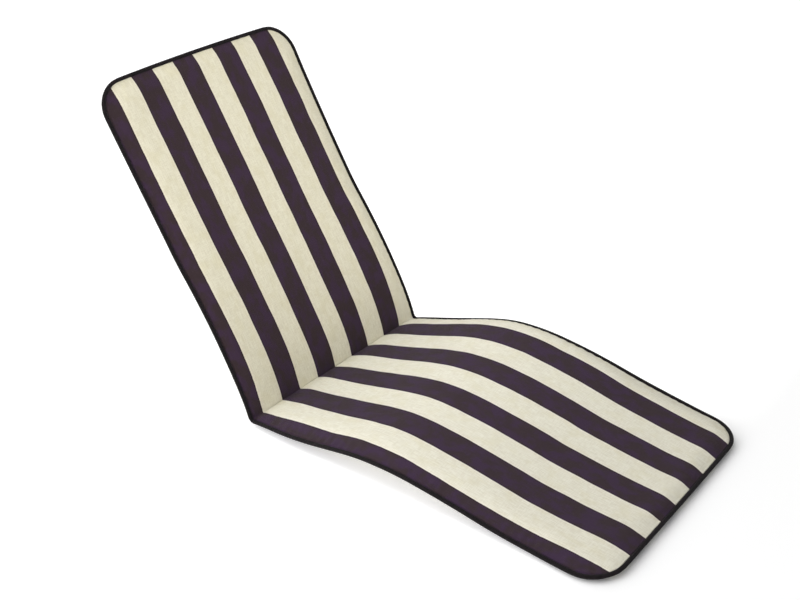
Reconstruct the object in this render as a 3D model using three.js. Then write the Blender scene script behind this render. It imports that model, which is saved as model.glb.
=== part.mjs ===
// Cushion for a folding recliner chair: one filled pad, bent at the seat and over the knee,
// with a corded piping sewn round its edge.
// Millimetres. +X runs from the back towards the foot end, +Y across the width, +Z up.
import * as THREE from "three";

// Sizes of the pad.
const padWidth = 551;
const cornerRadius = 62;
const backDrawIn = 4;
const legDrawIn = 6;
const upperCrown = 13;
const lowerCrown = 17;
const crownBand = 38;
const crownFullness = 2.2;
const sewnEdgeThickness = 5;

// The upper face is pinched down by this much along the fold.
const foldPinch = 2.5;
const foldPinchReach = 22;

// Towards the top edge the upper face lies flatter, at the edge by this much.
const topFlattening = 6;
const topFlatteningReach = 200;

// Both ends are cut a little out of square and bow outwards in the middle.
// At the top the far side (+Y) reaches further, at the foot the near side (-Y).
const topSkew = 2.5;
const topBow = 5;
const footSkew = -9;
const footBow = 2;
const endReach = 150;

// The whole profile is turned by this many degrees, so that the fold and the foot end both rest.
const restingTilt = -0.12;
// Depth of the flats pressed into the lower face where the pad rests.
const restingPress = 3.2;

// Sizes of the piping.
const pipingRadius = 4.3;
const pipingGap = 0.4;
const pipingSides = 8;

// Side profile.
// The sewn edge runs down the back, turns sharply at the fold, rises to the knee and falls to the foot.
// Each station is a distance along it from the top edge and the heading there, in degrees from +X.
const foldStart = 774.7;
const foldRadius = 12;
const backHeading = -74.6;
const seatHeading = 12.8;
const foldEnd = foldStart + foldRadius * THREE.MathUtils.degToRad(seatHeading - backHeading);
const profileStations = [
  { at: 0, heading: -65.5 },
  { at: 150, heading: -63.2 },
  { at: 400, heading: -62.3 },
  { at: 600, heading: -63.5 },
  { at: 650, heading: -65.0 },
  { at: 720, heading: -71.5 },
  { at: foldStart, heading: backHeading },
  { at: foldEnd, heading: seatHeading },
  { at: foldEnd + 95, heading: 11.4 },
  { at: foldEnd + 210, heading: 13.0 },
  { at: foldEnd + 250, heading: 12.4 },
  { at: foldEnd + 290, heading: 10.0 },
  { at: foldEnd + 370, heading: 0.0 },
  { at: foldEnd + 450, heading: -7.6 },
  { at: foldEnd + 610, heading: -12.5 },
  { at: foldEnd + 690, heading: -8.7 },
  { at: foldEnd + 810, heading: -6.6 },
  { at: foldEnd + 850, heading: -3.0 },
  { at: foldEnd + 892, heading: 2.0 },
];
const profileLength = profileStations[profileStations.length - 1].at;

// The knee lies lower on the near side (-Y) than on the far side (+Y).
const kneeTwist = 28;
const kneePeak = foldEnd + 373;

// The sides of the lower back stand forward of its middle, most at half this height above the fold.
const backCup = 11;
const backCupHeight = 370;

// The pad lies this much towards the far side round the fold and at the foot end.
const foldShift = 9;
const foldShiftReach = 90;
const footShift = 4;
const legShift = 2.5;

// Spacing of the modelled rows and columns.
const cornerRows = 6;
const foldRows = 7;
const backSpacing = 32;
const legSpacing = 24;
const foldSpacing = 9;
const foldFineLength = 36;
const columns = 24;

const coverMaterial = new THREE.MeshStandardMaterial({ color: 0xded8c0, roughness: 0.95, metalness: 0 });
const pipingMaterial = new THREE.MeshStandardMaterial({ color: 0x2b1d20, roughness: 0.85, metalness: 0 });

function headingAt(distance) {
  for (let index = 1; index < profileStations.length; index += 1) {
    const before = profileStations[index - 1];
    const after = profileStations[index];
    if (distance <= after.at) {
      const share = (distance - before.at) / (after.at - before.at);
      const heading = THREE.MathUtils.lerp(before.heading, after.heading, share);
      return THREE.MathUtils.degToRad(heading + restingTilt);
    }
  }
  return THREE.MathUtils.degToRad(profileStations[profileStations.length - 1].heading + restingTilt);
}

// Points along the side profile every millimetre, found by adding up short steps.
function tracePath() {
  const step = 1;
  const points = [{ x: 0, z: 0 }];
  for (let distance = 0; distance < profileLength; distance += step) {
    const heading = headingAt(distance + step / 2);
    const last = points[points.length - 1];
    points.push({ x: last.x + Math.cos(heading) * step, z: last.z + Math.sin(heading) * step });
  }
  return points;
}

const tracedPath = tracePath();

function pathPoint(distance) {
  const lower = Math.min(Math.floor(distance), tracedPath.length - 2);
  const share = distance - lower;
  const from = tracedPath[lower];
  const to = tracedPath[lower + 1];
  return {
    x: THREE.MathUtils.lerp(from.x, to.x, share),
    z: THREE.MathUtils.lerp(from.z, to.z, share),
  };
}

// How much of the knee's twist applies at a distance along the profile.
function twistShare(distance) {
  if (distance <= foldEnd) {
    return 0;
  }
  if (distance < kneePeak) {
    return Math.sin((Math.PI / 2) * (distance - foldEnd) / (kneePeak - foldEnd));
  }
  return Math.cos((Math.PI / 2) * (distance - kneePeak) / (profileLength - kneePeak));
}

// How far the cup of the back moves a point forward.
function cupAt(distance, across) {
  const aboveFold = foldStart - distance;
  if (aboveFold <= 0 || aboveFold >= backCupHeight) {
    return 0;
  }
  const side = across / (padWidth / 2);
  return backCup * side * side * Math.sin(Math.PI * aboveFold / backCupHeight);
}

// A bell curve over the distance from the fold: 1 at the fold, fading out over the reach.
function foldBell(distance, reach) {
  const fromFold = (distance - (foldStart + foldEnd) / 2) / reach;
  return Math.exp(-fromFold * fromFold);
}

// How far a point moves towards the far side.
function sideShiftAt(distance) {
  const pastKnee = THREE.MathUtils.clamp((distance - kneePeak) / (profileLength - kneePeak), 0, 1);
  const legSway = legShift * Math.sin(Math.PI * pastKnee);
  return foldShift * foldBell(distance, foldShiftReach) + footShift * pastKnee + legSway;
}

// How far a point moves towards the foot because of how the two ends are cut.
function endShiftAt(distance, across) {
  const side = across / (padWidth / 2);
  const bow = 1 - side * side;
  const nearTop = THREE.MathUtils.clamp(1 - distance / endReach, 0, 1);
  const nearFoot = THREE.MathUtils.clamp(1 - (profileLength - distance) / endReach, 0, 1);
  return nearFoot * (footSkew * side + footBow * bow) - nearTop * (topSkew * side + topBow * bow);
}

// A point of the bent pad: distance along the profile, place across it, height off the sewn edge's plane.
function bentPoint(distance, across, height) {
  const shifted = distance + endShiftAt(distance, across);
  const along = THREE.MathUtils.clamp(shifted, 0, profileLength);
  const overrun = shifted - along;
  const heading = headingAt(along);
  const base = pathPoint(along);
  const lift = kneeTwist * twistShare(along) * across / (padWidth / 2);
  const rise = height + cupAt(along, across);
  return new THREE.Vector3(
    base.x + Math.cos(heading) * overrun - Math.sin(heading) * rise,
    across + sideShiftAt(along),
    base.z + Math.sin(heading) * overrun + Math.cos(heading) * rise + lift,
  );
}

// The long sides are drawn in a little in the middle of the back and between the fold and the foot.
function drawInAt(distance) {
  if (distance < foldStart) {
    return backDrawIn * Math.sin(Math.PI * distance / foldStart);
  }
  return legDrawIn * Math.sin(Math.PI * (distance - foldStart) / (profileLength - foldStart));
}

function halfWidthAt(distance) {
  const fromEnd = Math.min(distance, profileLength - distance);
  const corner = Math.max(0, cornerRadius - fromEnd);
  const cut = cornerRadius - Math.sqrt(cornerRadius * cornerRadius - corner * corner);
  return padWidth / 2 - cut - drawInAt(distance);
}

// Shortest distance from a point of the face to the sewn edge.
function distanceToEdge(distance, across) {
  const sideRoom = padWidth / 2 - drawInAt(distance) - Math.abs(across);
  const endRoom = Math.min(distance, profileLength - distance);
  if (sideRoom < cornerRadius && endRoom < cornerRadius) {
    return cornerRadius - Math.hypot(cornerRadius - sideRoom, cornerRadius - endRoom);
  }
  return Math.min(sideRoom, endRoom);
}

// 0 at the sewn edge, 1 where the pad has its full thickness.
function crownShare(distance, across) {
  const room = THREE.MathUtils.clamp(distanceToEdge(distance, across) / crownBand, 0, 1);
  return 1 - Math.pow(1 - room, crownFullness);
}

function upperCrownAt(distance) {
  const nearTop = THREE.MathUtils.clamp(1 - distance / topFlatteningReach, 0, 1);
  return upperCrown - foldPinch * foldBell(distance, foldPinchReach) - topFlattening * nearTop * nearTop;
}

function faceHeight(distance, across, crown) {
  const edge = sewnEdgeThickness / 2;
  return edge + (crown - edge) * crownShare(distance, across);
}

function evenSteps(from, to, spacing) {
  const count = Math.max(1, Math.round((to - from) / spacing));
  return Array.from({ length: count }, (_, index) => from + (to - from) * index / count);
}

// Distances of the cross rows, closer together at the rounded ends and in the fold.
function rowDistances() {
  const corner = Array.from({ length: cornerRows }, (_, index) => (
    cornerRadius * (1 - Math.cos((Math.PI / 2) * index / cornerRows))
  ));
  return [
    ...corner,
    ...evenSteps(cornerRadius, foldStart - foldFineLength, backSpacing),
    ...evenSteps(foldStart - foldFineLength, foldStart, foldSpacing),
    ...evenSteps(foldStart, foldEnd, (foldEnd - foldStart) / foldRows),
    ...evenSteps(foldEnd, foldEnd + foldFineLength, foldSpacing),
    ...evenSteps(foldEnd + foldFineLength, profileLength - cornerRadius, legSpacing),
    profileLength - cornerRadius,
    ...corner.map((distance) => profileLength - distance).reverse(),
  ];
}

const rows = rowDistances();

// Columns lie closer together near the long sides.
function acrossAt(distance, column) {
  return halfWidthAt(distance) * Math.sin((Math.PI / 2) * (2 * column / columns - 1));
}

// The lower face, level where the pad presses on the ground.
function lowerPoint(distance, across, ground) {
  const point = bentPoint(distance, across, -faceHeight(distance, across, lowerCrown));
  point.z = Math.max(point.z, ground);
  return point;
}

// The height of the ground: a little above the lowest points, so that the pad is flat where it rests.
function groundHeight() {
  const heights = rows.map((distance) => bentPoint(distance, 0, -faceHeight(distance, 0, lowerCrown)).z);
  return Math.min(...heights) + restingPress;
}

function meshGeometry(vertices, triangles) {
  const geometry = new THREE.BufferGeometry();
  const coordinates = vertices.flatMap((vertex) => vertex.toArray());
  geometry.setAttribute("position", new THREE.Float32BufferAttribute(coordinates, 3));
  geometry.setIndex(triangles);
  geometry.computeVertexNormals();
  return geometry;
}

function quad(triangles, a, b, c, d) {
  triangles.push(a, b, c, a, c, d);
}

function padGeometry(ground) {
  const vertices = [];
  const triangles = [];
  const perRow = columns + 1;
  for (const distance of rows) {
    for (let column = 0; column <= columns; column += 1) {
      const across = acrossAt(distance, column);
      vertices.push(bentPoint(distance, across, faceHeight(distance, across, upperCrownAt(distance))));
    }
  }
  const lowerStart = vertices.length;
  for (const distance of rows) {
    for (let column = 0; column <= columns; column += 1) {
      vertices.push(lowerPoint(distance, acrossAt(distance, column), ground));
    }
  }
  const upper = (row, column) => row * perRow + column;
  const lower = (row, column) => lowerStart + upper(row, column);
  const lastRow = rows.length - 1;
  const last = columns;
  for (let row = 0; row < lastRow; row += 1) {
    for (let column = 0; column < columns; column += 1) {
      const next = column + 1;
      quad(triangles, upper(row, column), upper(row + 1, column), upper(row + 1, next), upper(row, next));
      quad(triangles, lower(row, column), lower(row, next), lower(row + 1, next), lower(row + 1, column));
    }
    quad(triangles, lower(row, 0), lower(row + 1, 0), upper(row + 1, 0), upper(row, 0));
    quad(triangles, upper(row, last), upper(row + 1, last), lower(row + 1, last), lower(row, last));
  }
  for (let column = 0; column < columns; column += 1) {
    const next = column + 1;
    const end = lastRow;
    quad(triangles, upper(0, column), upper(0, next), lower(0, next), lower(0, column));
    quad(triangles, lower(end, column), lower(end, next), upper(end, next), upper(end, column));
  }
  return meshGeometry(vertices, triangles);
}

// The sewn edge as a closed loop of points, each with the direction that leads away from the pad.
function edgeLoop() {
  const loop = [];
  const addSide = (side) => rows.map((distance) => {
    const fromStart = Math.max(0, cornerRadius - distance);
    const fromFinish = Math.max(0, cornerRadius - (profileLength - distance));
    const outAlong = (fromFinish - fromStart) / cornerRadius;
    const outAcross = side * Math.sqrt(1 - outAlong * outAlong);
    return { distance, across: side * halfWidthAt(distance), outAlong, outAcross };
  });
  const acrossEnd = (distance, outAlong, direction) => Array.from({ length: columns - 1 }, (_, index) => {
    const column = direction > 0 ? index + 1 : columns - 1 - index;
    return { distance, across: acrossAt(distance, column), outAlong, outAcross: 0 };
  });
  loop.push(...addSide(-1));
  loop.push(...acrossEnd(profileLength, 1, 1));
  loop.push(...addSide(1).reverse());
  loop.push(...acrossEnd(0, -1, -1));
  return loop;
}

function pipingGeometry() {
  const vertices = [];
  const triangles = [];
  const offset = pipingRadius + pipingGap;
  const loop = edgeLoop();
  for (const place of loop) {
    for (let side = 0; side < pipingSides; side += 1) {
      const angle = (2 * Math.PI * (side + 0.5)) / pipingSides;
      const out = offset + pipingRadius * Math.cos(angle);
      const height = pipingRadius * Math.sin(angle);
      const distance = place.distance + place.outAlong * out;
      const across = place.across + place.outAcross * out;
      vertices.push(bentPoint(distance, across, height));
    }
  }
  for (let index = 0; index < loop.length; index += 1) {
    const next = (index + 1) % loop.length;
    for (let side = 0; side < pipingSides; side += 1) {
      const nextSide = (side + 1) % pipingSides;
      quad(
        triangles,
        index * pipingSides + side,
        next * pipingSides + side,
        next * pipingSides + nextSide,
        index * pipingSides + nextSide,
      );
    }
  }
  return meshGeometry(vertices, triangles);
}

// Puts the origin under the middle of the cushion, at the height of the ground.
function centreOnGround(geometries) {
  const box = new THREE.Box3();
  for (const geometry of geometries) {
    geometry.computeBoundingBox();
    box.union(geometry.boundingBox);
  }
  const centre = box.getCenter(new THREE.Vector3());
  for (const geometry of geometries) {
    geometry.translate(-centre.x, -centre.y, -box.min.z);
  }
}

const pad = padGeometry(groundHeight());
const piping = pipingGeometry();
centreOnGround([pad, piping]);

const cushion = new THREE.Group();
const padMesh = new THREE.Mesh(pad, coverMaterial);
padMesh.name = "cushion_pad";
const pipingMesh = new THREE.Mesh(piping, pipingMaterial);
pipingMesh.name = "piping";
cushion.add(padMesh, pipingMesh);

export default cushion;
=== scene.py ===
"""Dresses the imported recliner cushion: a filled cover of striped canvas with corded piping round its edge.

Metres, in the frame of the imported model: +X towards the foot end, +Y across the width, +Z up.
"""

import math

import bmesh
import bpy
import numpy as np
from mathutils import Matrix, Vector, noise


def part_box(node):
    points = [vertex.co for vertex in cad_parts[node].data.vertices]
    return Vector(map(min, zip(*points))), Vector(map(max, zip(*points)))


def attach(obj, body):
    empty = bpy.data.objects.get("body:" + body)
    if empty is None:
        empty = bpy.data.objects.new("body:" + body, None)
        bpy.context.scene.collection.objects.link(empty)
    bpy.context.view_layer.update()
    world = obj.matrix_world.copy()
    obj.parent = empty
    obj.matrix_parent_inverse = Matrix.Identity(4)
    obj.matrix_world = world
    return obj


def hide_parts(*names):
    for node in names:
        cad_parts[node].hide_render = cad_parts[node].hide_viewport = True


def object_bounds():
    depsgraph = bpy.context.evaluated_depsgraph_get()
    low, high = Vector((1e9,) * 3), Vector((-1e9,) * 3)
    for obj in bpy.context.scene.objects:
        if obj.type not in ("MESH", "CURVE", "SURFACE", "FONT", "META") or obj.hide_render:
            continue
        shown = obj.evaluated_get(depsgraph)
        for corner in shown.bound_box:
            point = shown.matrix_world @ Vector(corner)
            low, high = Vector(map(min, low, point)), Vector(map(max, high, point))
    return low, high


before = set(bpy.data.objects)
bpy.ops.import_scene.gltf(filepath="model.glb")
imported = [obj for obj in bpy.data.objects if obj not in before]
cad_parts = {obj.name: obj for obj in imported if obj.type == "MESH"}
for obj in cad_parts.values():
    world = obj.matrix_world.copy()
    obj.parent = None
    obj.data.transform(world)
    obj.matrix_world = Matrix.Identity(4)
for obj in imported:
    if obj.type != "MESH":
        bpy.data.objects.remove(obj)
cad_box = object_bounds()

# Camera.
CAMERA_PLACE = (1.4227, -1.6054, 1.4014)
CAMERA_TARGET = (-0.0204, -0.0442, 0.2878)
CAMERA_ROLL = math.radians(4.86)
CAMERA_LENS = 51.7
SENSOR_WIDTH = 36.0

# Grids of the cover: the spacing of the rows for the simulation and for the finished mesh.
SIMULATED_SPACING = 0.0095
FINISHED_SPACING = 0.0046
SIMULATED_COLUMNS = 56
FINISHED_COLUMNS = 100
EDGE_BIAS = 0.62

# Filling. The simulation starts from a slightly flatter cover of slightly looser cloth. How far it moves
# the cover is held under MOST_MOVEMENT and smoothed.
START_FULLNESS = 0.9
PRESSURE = 1.6
LOOSENESS = 0.012
MOST_MOVEMENT = 0.0025
SWELL_SMOOTHING = 4
SIMULATED_FRAMES = 20
RESTING_HEIGHT = 0.0004
CLOTH_SETTINGS = {
    "quality": 6,
    "mass": 0.3,
    "tension_stiffness": 20,
    "compression_stiffness": 20,
    "shear_stiffness": 8,
    "bending_stiffness": 0.8,
    "air_damping": 6,
    "use_pressure": True,
    "uniform_pressure_force": PRESSURE,
    "shrink_min": -LOOSENESS,
}

# Soft lumps of the filling, which fade out towards the seam.
LUMP_HEIGHT = 0.0014
LUMP_SIZE = 0.11
LUMP_MARGIN = 0.05
LUMP_ROUGHNESS = 1.0
LUMP_FINENESS = 2.0
LUMP_LAYERS = 3
LUMP_SEED = 7.0

# Gathers along the seam. Their spacing and their size change so many times a metre.
PUCKER_HEIGHT = 0.0007
PUCKER_LENGTH = 0.021
PUCKER_REACH = 0.009
SPACING_CHANGES = 9.0
SPACING_SHIFT = 5.0
SPACING_SEED = 3.7
SIZE_CHANGES = 14.0
SIZE_MEAN = 0.6
SIZE_SPREAD = 0.9
SIZE_SEED = (11.3, 5.0)

# Piping.
PIPING_SIDES = 14
PIPING_SPACING = 0.004
PIPING_TUCK = 0.92
PIPING_EVENING = 4
WRINKLE_PITCH = 0.0075
WRINKLE_DEPTH = 0.03

# Stripes, across the width.
FIRST_STRIPE = -0.3029
STRIPE_WIDTH = 0.058

# Threads.
THREAD_PITCH = 0.0011
PIPING_THREAD_PITCH = 0.00132
# Painted shade: how much darker the gaps of the weave are drawn.
WEAVE_PAINTED_SHADE = 0.05
SLUB_SHARE = 0.6
SLUB_RELIEF = 2.2
CANVAS_RELIEF = 0.00016
PIPING_RELIEF = 0.0002

# Uneven colour: features a metre along and across the cloth, layers of detail, and a seed.
SLUB = (45, 620, 3, 0)
CROSS_SLUB = (560, 60, 3, 31)
PATCHES = (26, 38, 3, 57)
WAVER = (9, 9, 2, 12)
FRAY = (700, 60, 2, 83)
CORD_MOTTLE = (120, 200, 3, 0)
NOISE_ROUGHNESS = 0.55

# How far the edge of a stripe wanders, slowly and from thread to thread.
WAVER_WIDTH = 0.0026
FRAY_WIDTH = 0.0012

# Parts of the wave across a stripe, which is 1 in its middle and 0 at its edge.
EDGE_SOFTNESS = 0.035
EDGE_FROM = 0.03
EDGE_TO = 0.17

# Where in a noise, from 0 to 1, the second of two colours begins and where it is full.
CREAM_THREADS = (0.36, 0.64)
WORN_THREADS = (0.5, 0.72)
YELLOW_PATCHES = (0.45, 0.72)
BROWN_PATCHES = (0.36, 0.62)
LIGHT_CORD = (0.3, 0.7)

# The most that each of these colours covers.
YELLOW_SHARE = 0.4
WORN_SHARE = 0.3
CREAM_EDGE_SHARE = 0.5
DARK_EDGE_SHARE = 0.6

# Finish of the cloth.
CANVAS_ROUGHNESS = 0.95
PIPING_ROUGHNESS = 0.9
CLOTH_SHINE = 0.15
CLOTH_SHEEN = 0.04
SHEEN_ROUGHNESS = 0.5

WELD_DISTANCE = 1e-5

# The shortest length that a vector is divided by.
SHORTEST = 1e-9

# How strongly triangles are paired so that their four-sided faces lie in rows and columns.
EVEN_PAIRING = 1.75

# How many rows or columns inside the rim the pad's surface is even enough to tell which way it faces.
EVEN_INSET = 3

# Colours of the cloth, each as it shows on a screen, 0 to 255.
CREAM_DEEP = (218, 213, 194)
CREAM_LIGHT = (232, 229, 213)
CREAM_YELLOW = (217, 211, 183)
CREAM_EDGE = (240, 231, 219)
DARK_PURPLE = (58, 42, 62)
DARK_BROWN = (54, 42, 47)
DARK_WORN = (72, 59, 68)
DARK_EDGE = (33, 23, 25)
CORD_DEEP = (14, 10, 12)
CORD_LIGHT = (26, 19, 22)

# Painted shade: the back is tinted yellower and a little darker than the seat and the leg rest.
BACK_PAINTED_SHADE = (1.0, 0.98, 0.91)
BACK_PAINTED_SHADE_FADE = 0.1

# Light.
SKY_STRENGTH = 0.73
SKY_TILT = 0.55
SKY_TOWARDS = (-0.6, -0.8, 0.0)
OVERHEAD_LIGHT = {"towards": (-0.25, -0.35, 0.9), "spread": 60, "power": 0.95}
FRONT_LIGHT = {
    "place": (1.3, -0.5, 2.0),
    "target": (-0.5, 0.0, 0.5),
    "size": 0.9,
    "power": 2.6,
    "spread": 50,
}
NEAR_LIGHT = {
    "place": (-1.0, -3.0, 1.6),
    "target": (0.0, 0.0, 0.1),
    "size": 1.6,
    "power": 32,
    "spread": 180,
}

# Floor.
FLOOR_REACH = 12.0
FLOOR_WHITENESS = 0.93
FLOOR_ROUGHNESS = 0.95
FLOOR_SHINE = 0.1
FLOOR_GLOW = 0.28
GLOW_FADE = 0.22


def srgb(red, green, blue):
    """A colour given as it shows on a screen, 0 to 255, as the shader needs it."""
    def linear(value):
        share = value / 255
        return share / 12.92 if share <= 0.04045 else ((share + 0.055) / 1.055) ** 2.4
    return (linear(red), linear(green), linear(blue), 1.0)


# Reading the pad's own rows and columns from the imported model.


def quads_of(node):
    """The node's mesh with its corners welded and its triangles paired back into four-sided faces."""
    mesh = bmesh.new()
    mesh.from_mesh(node.data)
    bmesh.ops.remove_doubles(mesh, verts=mesh.verts[:], dist=WELD_DISTANCE)
    bmesh.ops.join_triangles(
        mesh,
        faces=mesh.faces[:],
        angle_face_threshold=math.pi,
        angle_shape_threshold=math.pi,
        topology_influence=EVEN_PAIRING,
    )
    return mesh


def is_corner(vertex):
    return len(vertex.link_edges) == 3


def walk(start, second, count=None):
    """The vertices met by going straight on from start through second, for count of them or to a corner."""
    line = [start, second]
    edge = next(e for e in start.link_edges if e.other_vert(start) is second)
    while len(line) < count if count else not is_corner(line[-1]):
        here = line[-1]
        faces = set(edge.link_faces)
        edge = next(e for e in here.link_edges if not faces & set(e.link_faces))
        line.append(edge.other_vert(here))
    return line


def neighbours(vertex):
    return [edge.other_vert(vertex) for edge in vertex.link_edges]


def face_grid(corner, partner):
    """Rows of points on the face that corner belongs to, each from the near side to the far side."""
    others = [v for v in neighbours(corner) if v is not partner]
    across, along = sorted(others, key=lambda v: v.co.y, reverse=True)
    width = len(walk(corner, across))
    side = walk(corner, along)
    partner_along = min((v for v in neighbours(partner) if v is not corner), key=lambda v: v.co.y)
    partner_side = walk(partner, partner_along)
    rows = []
    for index, vertex in enumerate(side):
        taken = {partner_side[index], *side[max(index - 1, 0):index + 2]}
        second = next(v for v in neighbours(vertex) if v not in taken)
        rows.append([tuple(v.co) for v in walk(vertex, second, width)])
    return np.array(rows)


def pad_grids():
    """The upper and the lower face of the CAD pad as two grids of points that match row by row."""
    mesh = quads_of(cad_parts["cushion_pad"])
    corners = sorted((v for v in mesh.verts if is_corner(v)), key=lambda v: v.co.z, reverse=True)
    top_near = [v for v in corners[:4] if v.co.y < 0]
    front, behind = sorted(top_near, key=lambda v: v.co.x, reverse=True)
    upper = face_grid(front, behind)
    lower = face_grid(behind, front)
    mesh.free()
    return upper, lower


# Working with grids of points.


def resample(grid, at):
    """The grid at fractional row numbers, on a smooth curve through its rows."""
    last = len(grid) - 1
    longer = np.concatenate([2 * grid[:1] - grid[1:2], grid, 2 * grid[-1:] - grid[-2:-1]])
    low = np.clip(np.floor(at).astype(int), 0, last - 1)
    share = (at - low)[:, None, None]
    before, start, end, after = (longer[low + offset] for offset in range(4))
    slope = end - before
    curve = 2 * before - 5 * start + 4 * end - after
    twist = 3 * (start - end) + after - before
    return start + 0.5 * share * (slope + share * (curve + share * twist))


def resample_across(grid, at):
    return resample(grid.transpose(1, 0, 2), at).transpose(1, 0, 2)


def finer_rows(grid, spacing):
    """Fractional row numbers that split each row gap of the grid into steps no longer than spacing."""
    gaps = np.linalg.norm(np.diff(grid, axis=0), axis=2).max(axis=1)
    rows = []
    for index, gap in enumerate(gaps):
        steps = max(1, math.ceil(gap / spacing))
        rows.extend(index + np.arange(steps) / steps)
    rows.append(len(gaps))
    return np.array(rows, float)


def column_numbers(count, columns):
    """Fractional numbers of count + 1 columns, evenly spread in the middle and closer at the sides."""
    even = np.linspace(-1, 1, count + 1)
    eased = (1 - EDGE_BIAS) * even + EDGE_BIAS * np.sin(math.pi / 2 * even)
    return (columns - 1) * (0.5 + np.arcsin(np.clip(eased, -1, 1)) / math.pi)


def distances_along(grid):
    """How far each row lies from the top edge, measured along the middle of the grid."""
    middle = grid[:, grid.shape[1] // 2]
    steps = np.linalg.norm(np.diff(middle, axis=0), axis=1)
    return np.concatenate([[0], np.cumsum(steps)])


def share_the_seam(upper, lower):
    """Brings the rims of both faces together on one line."""
    for rim in (np.s_[0, :], np.s_[-1, :], np.s_[:, 0], np.s_[:, -1]):
        middle = (upper[rim] + lower[rim]) / 2
        upper[rim] = middle
        lower[rim] = middle


def normals_of(grid):
    along = np.gradient(grid, axis=0)
    across = np.gradient(grid, axis=1)
    normal = np.cross(along, across)
    return normal / np.maximum(np.linalg.norm(normal, axis=2, keepdims=True), SHORTEST)


def even_normals(grid):
    """The normals of a grid, with those near its rim taken from just inside it."""
    inner = normals_of(grid)[EVEN_INSET:-EVEN_INSET, EVEN_INSET:-EVEN_INSET]
    sides = (EVEN_INSET, EVEN_INSET)
    return np.pad(inner, (sides, sides, (0, 0)), mode="edge")


def rim_mask(shape):
    mask = np.zeros(shape, bool)
    mask[0, :] = mask[-1, :] = True
    mask[:, 0] = mask[:, -1] = True
    return mask


class CoverMesh:
    """Numbers the vertices of two faces that share their rim."""

    def __init__(self, shape):
        self.shape = shape
        self.rim = rim_mask(shape)
        self.upper = np.arange(shape[0] * shape[1]).reshape(shape)
        self.lower = self.upper.copy()
        inner = ~self.rim
        self.lower[inner] = self.upper.size + np.arange(inner.sum())

    def points(self, upper, lower):
        return np.concatenate([upper.reshape(-1, 3), lower[~self.rim]])

    def faces(self):
        def corners(grid):
            return [grid[:-1, :-1], grid[1:, :-1], grid[1:, 1:], grid[:-1, 1:]]
        top = np.stack(corners(self.upper), axis=-1).reshape(-1, 4)
        under = np.stack(corners(self.lower)[::-1], axis=-1).reshape(-1, 4)
        return np.concatenate([top, under])

    def grids(self, points):
        return points[self.upper], points[self.lower]

    def build(self, name, upper, lower):
        mesh = bpy.data.meshes.new(name)
        mesh.from_pydata(self.points(upper, lower).tolist(), [], self.faces().tolist())
        mesh.polygons.foreach_set("use_smooth", np.ones(len(mesh.polygons), bool))
        piece = bpy.data.objects.new(name, mesh)
        bpy.context.scene.collection.objects.link(piece)
        return piece


def set_cloth_places(mesh, places):
    """Stores, for each corner of each face, its place on the flat cloth in metres."""
    layer = mesh.uv_layers.new(name="cloth")
    layer.data.foreach_set("uv", places.astype(np.float32).ravel())


def points_of(mesh):
    flat = np.empty(len(mesh.vertices) * 3, np.float32)
    mesh.vertices.foreach_get("co", flat)
    return flat.reshape(-1, 3).astype(float)


# Filling the cover.


def crease_row(upper):
    """The row at the bottom of the fold between the back and the seat."""
    middle = upper[:, upper.shape[1] // 2]
    heights = np.where(middle[:, 0] < 0, middle[:, 2], np.inf)
    return int(np.argmin(heights))


def fill_with_air(piece, held):
    """Swells the piece by a cloth simulation, with the held vertices kept where they are."""
    group = piece.vertex_groups.new(name="held")
    group.add([int(index) for index in held], 1.0, "REPLACE")
    cloth = piece.modifiers.new("filling", "CLOTH")
    for name, value in CLOTH_SETTINGS.items():
        setattr(cloth.settings, name, value)
    cloth.settings.vertex_group_mass = group.name
    cloth.settings.effector_weights.gravity = 0
    cloth.collision_settings.use_collision = False
    cloth.collision_settings.use_self_collision = False
    cloth.point_cache.frame_start = 1
    cloth.point_cache.frame_end = SIMULATED_FRAMES
    scene = bpy.context.scene
    for number in range(1, SIMULATED_FRAMES + 1):
        scene.frame_set(number)
    shown = piece.evaluated_get(bpy.context.evaluated_depsgraph_get())
    swollen = points_of(shown.data)
    scene.frame_set(1)
    return swollen


def smoothed(grid, passes):
    """The grid with each point inside the rim drawn towards the mean of its neighbours."""
    rim = rim_mask(grid.shape[:2])[:, :, None]
    for _ in range(passes):
        spread = grid
        for axis in (0, 1):
            spread = (np.roll(spread, 1, axis) + 2 * spread + np.roll(spread, -1, axis)) / 4
        grid = np.where(rim, grid, spread)
    return grid


def filled_grids(upper, lower):
    """Both faces of the cover after the simulation, with every point near where the CAD pad has it."""
    rows = finer_rows(upper, SIMULATED_SPACING)
    columns = column_numbers(SIMULATED_COLUMNS, upper.shape[1])
    upper = resample_across(resample(upper, rows), columns)
    lower = resample_across(resample(lower, rows), columns)
    share_the_seam(upper, lower)
    middle = (upper + lower) / 2
    cover = CoverMesh(upper.shape[:2])
    start_upper = middle + START_FULLNESS * (upper - middle)
    start_lower = middle + START_FULLNESS * (lower - middle)
    trial = cover.build("filling_trial", start_upper, start_lower)
    crease = crease_row(upper)
    resting = lower[:, :, 2] < RESTING_HEIGHT
    held = set(cover.upper[cover.rim].tolist())
    held |= set(cover.upper[crease].tolist())
    held |= set(cover.lower[resting].tolist())
    target = cover.points(upper, lower)
    swollen = fill_with_air(trial, sorted(held))
    bpy.data.objects.remove(trial)
    move = swollen - target
    length = np.linalg.norm(move, axis=1, keepdims=True)
    move *= np.tanh(length / MOST_MOVEMENT) * MOST_MOVEMENT / np.maximum(length, SHORTEST)
    upper_move, lower_move = (smoothed(part, SWELL_SMOOTHING) for part in cover.grids(move))
    upper_move[crease] = 0
    lower_move[resting] = 0
    return upper + upper_move, lower + lower_move


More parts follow.
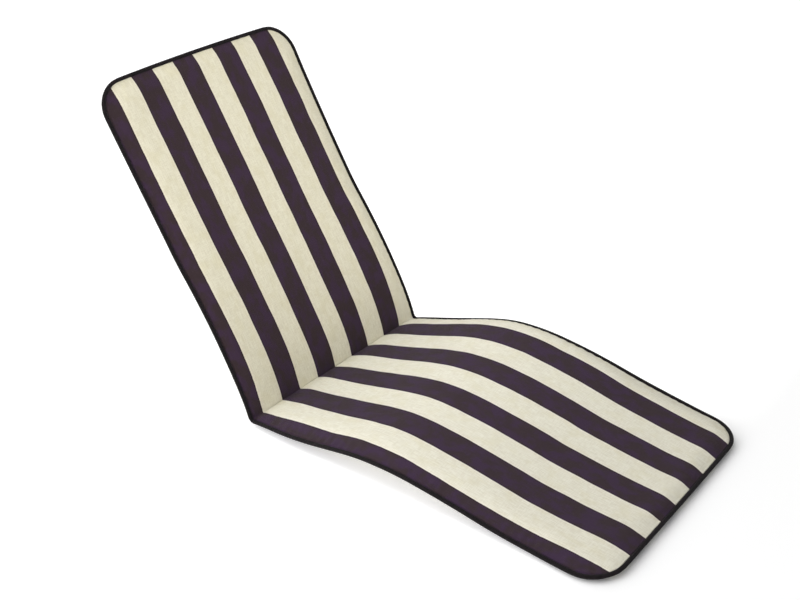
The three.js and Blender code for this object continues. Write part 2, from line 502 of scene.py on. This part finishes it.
def seam_places(along, across):
    """For each point of the flat cover, how far the nearest seam point is and where on the seam it lies."""
    flat = np.stack([along, across], axis=-1)
    loop = np.concatenate([flat[0], flat[1:, -1], flat[-1, -2::-1], flat[-2:0:-1, 0]])
    steps = np.linalg.norm(np.diff(loop, axis=0, append=loop[:1]), axis=1)
    place = np.concatenate([[0], np.cumsum(steps)[:-1]])
    room = np.empty(along.shape)
    nearest = np.empty(along.shape)
    for row in range(len(flat)):
        gaps = np.linalg.norm(flat[row][:, None] - loop[None], axis=2)
        best = gaps.argmin(axis=1)
        room[row] = gaps[np.arange(len(best)), best]
        nearest[row] = place[best]
    return room, nearest


def pucker_wave(place, side):
    """Uneven gathers along the seam, from -1 to 1."""
    def shift_at(value):
        return noise.noise(Vector((value * SPACING_CHANGES, SPACING_SEED * side, 0.0)))

    def size_at(value):
        return noise.noise(Vector((value * SIZE_CHANGES, SIZE_SEED[0] + side, SIZE_SEED[1])))

    shift = np.vectorize(shift_at)(place)
    size = np.vectorize(size_at)(place)
    wave = np.sin(2 * math.pi * place / PUCKER_LENGTH + SPACING_SHIFT * shift)
    return wave * (SIZE_MEAN + SIZE_SPREAD * size)


def unevenness(along, across, side):
    """How far each point of a face stands proud of the smooth filling."""
    def lump_at(distance, sideways):
        place = Vector((distance / LUMP_SIZE, sideways / LUMP_SIZE, LUMP_SEED * side))
        return noise.fractal(place, LUMP_ROUGHNESS, LUMP_FINENESS, LUMP_LAYERS)

    room, seam_place = seam_places(along, across)
    near = room / PUCKER_REACH
    puckers = PUCKER_HEIGHT * pucker_wave(seam_place, side) * near * np.exp(1 - near)
    lumps = LUMP_HEIGHT * np.vectorize(lump_at)(along, across) * np.clip(room / LUMP_MARGIN, 0, 1)
    return puckers + lumps


def finished_cover(upper, lower):
    rows = finer_rows(upper, FINISHED_SPACING)
    columns = np.linspace(0, upper.shape[1] - 1, FINISHED_COLUMNS + 1)
    upper = resample_across(resample(upper, rows), columns)
    lower = resample_across(resample(lower, rows), columns)
    share_the_seam(upper, lower)
    distance = distances_along((upper + lower) / 2)
    along = np.repeat(distance[:, None], upper.shape[1], axis=1)
    across = (upper + lower)[:, :, 1] / 2
    inner = ~rim_mask(along.shape)[:, :, None]
    upper = upper + inner * normals_of(upper) * unevenness(along, across, 1)[:, :, None]
    lower = lower - inner * normals_of(lower) * unevenness(along, across, 2)[:, :, None]
    lower[:, :, 2] = np.maximum(lower[:, :, 2], 0)
    cover = CoverMesh(upper.shape[:2])
    piece = cover.build("cover", upper, lower)
    flat = np.stack([along, across, np.zeros(along.shape)], axis=-1)
    set_cloth_places(piece.data, cover.points(flat, flat)[cover.faces().ravel(), :2])
    return piece, upper, lower


# Piping.


def rim_loop(grid):
    """The values round the rim of a grid, in order."""
    return np.concatenate([grid[0], grid[1:, -1], grid[-1, -2::-1], grid[-2:0:-1, 0]])


def evenly_round(loop, values, count):
    """The values at evenly spaced places on a closed line of points."""
    steps = np.linalg.norm(np.diff(loop, axis=0, append=loop[:1]), axis=1)
    place = np.concatenate([[0], np.cumsum(steps)])
    at = np.arange(count) * place[-1] / count
    closed = np.concatenate([values, values[:1]])
    return np.stack([np.interp(at, place, closed[:, axis]) for axis in range(3)], axis=1)


def loop_length(loop):
    return np.linalg.norm(np.diff(loop, axis=0, append=loop[:1]), axis=1).sum()


def unit(vectors):
    return vectors / np.linalg.norm(vectors, axis=-1, keepdims=True)


def evened(loop, reach):
    """Each value of a closed line as the mean of those within reach of it."""
    return sum(np.roll(loop, shift, axis=0) for shift in range(-reach, reach + 1)) / (2 * reach + 1)


def piping_piece(upper, lower):
    """A round corded piping that lies against the seam all the way round."""
    _, pad_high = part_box("cushion_pad")
    _, piping_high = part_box("piping")
    radius = (piping_high.y - pad_high.y) / 2
    loop = rim_loop((upper + lower) / 2)
    length = loop_length(loop)
    count = round(length / PIPING_SPACING)
    seam = evenly_round(loop, loop, count)
    normals = rim_loop(even_normals((upper + lower) / 2))
    facing = evened(evenly_round(loop, normals, count), PIPING_EVENING)
    forward = unit(np.roll(seam, -1, axis=0) - np.roll(seam, 1, axis=0))
    outward = unit(np.cross(facing, forward))
    up = np.cross(forward, outward)
    centre = seam + outward * radius * PIPING_TUCK
    turn = 2 * math.pi * np.arange(PIPING_SIDES) / PIPING_SIDES + math.pi
    place = np.arange(count) * length / count
    wrinkles = round(length / WRINKLE_PITCH)
    phase = 2 * math.pi * wrinkles * place[:, None] / length + turn[None, :]
    size = radius * (1 - WRINKLE_DEPTH * (0.5 + 0.5 * np.sin(phase)))[:, :, None]
    rings = centre[:, None] + size * (
        np.cos(turn)[None, :, None] * outward[:, None] + np.sin(turn)[None, :, None] * up[:, None]
    )
    ring, side = np.meshgrid(np.arange(count), np.arange(PIPING_SIDES), indexing="ij")
    steps = [(0, 0), (0, 1), (1, 1), (1, 0)]
    faces = np.stack([
        (ring + along) % count * PIPING_SIDES + (side + round_it) % PIPING_SIDES
        for along, round_it in steps
    ], axis=-1).reshape(-1, 4)
    places = np.stack([
        np.stack([
            (ring + along) * length / count,
            (side + round_it) * 2 * math.pi * radius / PIPING_SIDES,
        ], axis=-1)
        for along, round_it in steps
    ], axis=-2).reshape(-1, 2)
    mesh = bpy.data.meshes.new("corded_piping")
    mesh.from_pydata(rings.reshape(-1, 3).tolist(), [], faces.tolist())
    mesh.polygons.foreach_set("use_smooth", np.ones(len(mesh.polygons), bool))
    set_cloth_places(mesh, places)
    piece = bpy.data.objects.new("corded_piping", mesh)
    bpy.context.scene.collection.objects.link(piece)
    return piece


# Materials.


def node(tree, kind, inputs=None, **settings):
    """Adds a shader node, with each named or numbered input set or linked."""
    made = tree.nodes.new("ShaderNode" + kind)
    for key, value in settings.items():
        setattr(made, key, value)
    for key, value in (inputs or {}).items():
        if isinstance(value, bpy.types.NodeSocket):
            tree.links.new(value, made.inputs[key])
        else:
            made.inputs[key].default_value = value
    return made


def maths(tree, operation, *values):
    return node(tree, "Math", dict(enumerate(values)), operation=operation).outputs[0]


def mixed(tree, share, first, second, blend="MIX"):
    made = node(tree, "Mix", {0: share, 6: first, 7: second}, data_type="RGBA", blend_type=blend)
    return made.outputs[2]


def ramp(tree, value, low, high):
    """0 below low, 1 above high, smooth between."""
    inputs = {"Value": value, "From Min": low, "From Max": high}
    return node(tree, "MapRange", inputs, interpolation_type="SMOOTHSTEP").outputs["Result"]


def stretched_noise(tree, place, along, across, detail, seed):
    """Noise from 0 to 1 with so many features a metre along and across the cloth."""
    inputs = {"Vector": place, "Location": (seed, seed, 0), "Scale": (along, across, 1)}
    scaled = node(tree, "Mapping", inputs).outputs[0]
    inputs = {"Vector": scaled, "Scale": 1.0, "Detail": detail, "Roughness": NOISE_ROUGHNESS}
    return node(tree, "TexNoise", inputs, noise_dimensions="2D").outputs["Fac"]


def woven_height(tree, along, across, pitch):
    """The height of a plain weave, threads over and under each other."""
    turns = 2 * math.pi / pitch
    lengthwise = maths(tree, "SINE", maths(tree, "MULTIPLY", along, turns))
    crosswise = maths(tree, "SINE", maths(tree, "MULTIPLY", across, turns))
    return maths(tree, "MULTIPLY", lengthwise, crosswise)


def cloth_place(tree):
    place = node(tree, "UVMap", uv_map="cloth").outputs["UV"]
    parts = node(tree, "SeparateXYZ", {0: place})
    return place, parts.outputs["X"], parts.outputs["Y"]


def finish_material(tree, colour, height, depth, roughness):
    bump = node(tree, "Bump", {"Strength": 1.0, "Distance": depth, "Height": height})
    shader = node(tree, "BsdfPrincipled", {
        "Base Color": colour,
        "Roughness": roughness,
        "Specular IOR Level": CLOTH_SHINE,
        "Sheen Weight": CLOTH_SHEEN,
        "Sheen Roughness": SHEEN_ROUGHNESS,
        "Normal": bump.outputs[0],
    })
    node(tree, "OutputMaterial", {"Surface": shader.outputs[0]})


def new_material(name):
    made = bpy.data.materials.new(name)
    made.use_nodes = True
    made.node_tree.nodes.clear()
    return made


def stripe_wave(tree, place, across):
    """A wave across the cloth: above 0 on dark stripes, below 0 on cream ones, 0 at their uneven edges."""
    waver = stretched_noise(tree, place, *WAVER)
    fray = stretched_noise(tree, place, *FRAY)
    wander = maths(tree, "MULTIPLY_ADD", waver, WAVER_WIDTH, -WAVER_WIDTH / 2)
    shift = maths(tree, "ADD", wander, maths(tree, "MULTIPLY_ADD", fray, FRAY_WIDTH, -FRAY_WIDTH / 2))
    from_first = maths(tree, "SUBTRACT", maths(tree, "ADD", across, shift), FIRST_STRIPE)
    turns = maths(tree, "DIVIDE", from_first, STRIPE_WIDTH)
    return maths(tree, "SINE", maths(tree, "MULTIPLY", turns, math.pi))


def cream_cloth(tree, threads, patches, at_edge):
    """Cream with lighter threads, yellower patches and a paler line beside each dark stripe."""
    colour = mixed(tree, ramp(tree, threads, *CREAM_THREADS), srgb(*CREAM_DEEP), srgb(*CREAM_LIGHT))
    yellow = maths(tree, "MULTIPLY", ramp(tree, patches, *YELLOW_PATCHES), YELLOW_SHARE)
    colour = mixed(tree, yellow, colour, srgb(*CREAM_YELLOW))
    return mixed(tree, maths(tree, "MULTIPLY", at_edge, CREAM_EDGE_SHARE), colour, srgb(*CREAM_EDGE))


def dark_cloth(tree, threads, patches, at_edge):
    """Dark purple with browner patches, worn threads and a darker line beside each cream stripe."""
    colour = mixed(tree, ramp(tree, patches, *BROWN_PATCHES), srgb(*DARK_PURPLE), srgb(*DARK_BROWN))
    worn = maths(tree, "MULTIPLY", ramp(tree, threads, *WORN_THREADS), WORN_SHARE)
    colour = mixed(tree, worn, colour, srgb(*DARK_WORN))
    return mixed(tree, maths(tree, "MULTIPLY", at_edge, DARK_EDGE_SHARE), colour, srgb(*DARK_EDGE))


def canvas_material(crease_distance):
    """Striped woven canvas with uneven threads both ways, and painted shade that makes the back yellower and
    darker up to the crease.
    """
    made = new_material("striped canvas")
    tree = made.node_tree
    place, along, across = cloth_place(tree)
    slub = stretched_noise(tree, place, *SLUB)
    cross_slub = maths(tree, "MULTIPLY", stretched_noise(tree, place, *CROSS_SLUB), 1 - SLUB_SHARE)
    threads = maths(tree, "MULTIPLY_ADD", slub, SLUB_SHARE, cross_slub)
    patches = stretched_noise(tree, place, *PATCHES)
    wave = stripe_wave(tree, place, across)
    cream_share = ramp(tree, maths(tree, "MULTIPLY", wave, -1.0), -EDGE_SOFTNESS, EDGE_SOFTNESS)
    inside = ramp(tree, maths(tree, "ABSOLUTE", wave), EDGE_FROM, EDGE_TO)
    at_edge = maths(tree, "SUBTRACT", 1.0, inside)
    cream = cream_cloth(tree, threads, patches, at_edge)
    dark = dark_cloth(tree, threads, patches, at_edge)
    colour = mixed(tree, cream_share, dark, cream)
    weave = woven_height(tree, along, across, THREAD_PITCH)
    # Painted shade: the gaps of the weave are drawn a little darker.
    shade = maths(tree, "MULTIPLY_ADD", weave, WEAVE_PAINTED_SHADE, 1 - WEAVE_PAINTED_SHADE)
    painted_gap_shade = node(tree, "CombineColor", {0: shade, 1: shade, 2: shade}).outputs[0]
    colour = mixed(tree, 1.0, colour, painted_gap_shade, "MULTIPLY")
    # Painted shade: the back, up to the crease, is tinted yellower and darker.
    on_seat = ramp(tree, along, crease_distance - BACK_PAINTED_SHADE_FADE, crease_distance + BACK_PAINTED_SHADE_FADE)
    back_painted_shade = mixed(tree, on_seat, (*BACK_PAINTED_SHADE, 1), (1, 1, 1, 1))
    colour = mixed(tree, 1.0, colour, back_painted_shade, "MULTIPLY")
    height = maths(tree, "MULTIPLY_ADD", threads, SLUB_RELIEF, weave)
    finish_material(tree, colour, height, CANVAS_RELIEF, CANVAS_ROUGHNESS)
    return made


def piping_material():
    """Plain dark canvas cut on the bias, so that its threads wind round the cord."""
    made = new_material("piping canvas")
    tree = made.node_tree
    place, along, across = cloth_place(tree)
    slant_one = maths(tree, "ADD", along, across)
    slant_two = maths(tree, "SUBTRACT", along, across)
    weave = woven_height(tree, slant_one, slant_two, PIPING_THREAD_PITCH)
    mottle = stretched_noise(tree, place, *CORD_MOTTLE)
    colour = mixed(tree, ramp(tree, mottle, *LIGHT_CORD), srgb(*CORD_DEEP), srgb(*CORD_LIGHT))
    finish_material(tree, colour, maths(tree, "ADD", weave, mottle), PIPING_RELIEF, PIPING_ROUGHNESS)
    return made


def dress(piece, finish, node_name):
    piece.data.materials.append(finish)
    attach(piece, "root")
    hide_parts(node_name)


# Surroundings.


def floor():
    """A pale floor that runs far past the view and glows a little, but not round the foot end."""
    made = new_material("floor")
    tree = made.node_tree
    place = node(tree, "SeparateXYZ", {0: node(tree, "TexCoord").outputs["Object"]}).outputs["X"]
    foot = cad_box[1][0]
    beside_foot = ramp(tree, place, foot - GLOW_FADE, foot)
    glow = maths(tree, "MULTIPLY", maths(tree, "SUBTRACT", 1.0, beside_foot), FLOOR_GLOW)
    shader = node(tree, "BsdfPrincipled", {
        "Base Color": (FLOOR_WHITENESS, FLOOR_WHITENESS, FLOOR_WHITENESS, 1),
        "Roughness": FLOOR_ROUGHNESS,
        "Specular IOR Level": FLOOR_SHINE,
        "Emission Color": (1, 1, 1, 1),
        "Emission Strength": glow,
    })
    node(tree, "OutputMaterial", {"Surface": shader.outputs[0]})
    reach = FLOOR_REACH
    corners = [(-reach, -reach, 0), (reach, -reach, 0), (reach, reach, 0), (-reach, reach, 0)]
    mesh = bpy.data.meshes.new("floor")
    mesh.from_pydata(corners, [], [(0, 1, 2, 3)])
    mesh.materials.append(made)
    piece = bpy.data.objects.new("floor", mesh)
    bpy.context.scene.collection.objects.link(piece)


def area_light(name, place, target, size, power, spread):
    """A round light of this size, whose beam is this many degrees wide."""
    light = bpy.data.lights.new(name, "AREA")
    light.shape = "DISK"
    light.size = size
    light.energy = power
    light.spread = math.radians(spread)
    made = bpy.data.objects.new(name, light)
    made.location = place
    made.rotation_euler = (Vector(target) - Vector(place)).to_track_quat("-Z", "Y").to_euler()
    bpy.context.scene.collection.objects.link(made)


def sun(name, towards, spread, power):
    """A far light of even strength, shining from the direction towards."""
    light = bpy.data.lights.new(name, "SUN")
    light.angle = math.radians(spread)
    light.energy = power
    made = bpy.data.objects.new(name, light)
    made.rotation_euler = Vector(towards).to_track_quat("Z", "Y").to_euler()
    bpy.context.scene.collection.objects.link(made)


def sky():
    """A pale sky that is brighter on the side of SKY_TOWARDS."""
    world = bpy.data.worlds.new("studio")
    world.use_nodes = True
    tree = world.node_tree
    direction = node(tree, "TexCoord").outputs["Generated"]
    inputs = {0: direction, 1: SKY_TOWARDS}
    lean = node(tree, "VectorMath", inputs, operation="DOT_PRODUCT").outputs["Value"]
    strength = maths(tree, "MULTIPLY_ADD", lean, SKY_TILT, SKY_STRENGTH)
    background = tree.nodes["Background"]
    background.inputs["Color"].default_value = (1, 1, 1, 1)
    tree.links.new(strength, background.inputs["Strength"])
    bpy.context.scene.world = world


def lights():
    sky()
    sun("overhead", **OVERHEAD_LIGHT)
    area_light("front", **FRONT_LIGHT)
    area_light("near side", **NEAR_LIGHT)


def camera():
    """The photographer's camera, rolled a little to one side."""
    place = Vector(CAMERA_PLACE)
    ahead = (Vector(CAMERA_TARGET) - place).normalized()
    level_right = ahead.cross(Vector((0, 0, 1))).normalized()
    level_up = level_right.cross(ahead)
    right = level_right * math.cos(CAMERA_ROLL) - level_up * math.sin(CAMERA_ROLL)
    up = level_up * math.cos(CAMERA_ROLL) + level_right * math.sin(CAMERA_ROLL)
    lens = bpy.data.cameras.new("camera")
    lens.lens = CAMERA_LENS
    lens.sensor_width = SENSOR_WIDTH
    made = bpy.data.objects.new("camera", lens)
    made.matrix_world = Matrix.Translation(place) @ Matrix((right, up, -ahead)).transposed().to_4x4()
    bpy.context.scene.collection.objects.link(made)
    bpy.context.scene.camera = made


camera()
floor()
lights()
bpy.context.scene.view_settings.view_transform = "Standard"

pad_upper, pad_lower = pad_grids()
full_upper, full_lower = filled_grids(pad_upper, pad_lower)
cover, cover_upper, cover_lower = finished_cover(full_upper, full_lower)
creased_at = distances_along(cover_upper)[crease_row(cover_upper)]
dress(cover, canvas_material(creased_at), "cushion_pad")
piping = piping_piece(cover_upper, cover_lower)
dress(piping, piping_material(), "piping")
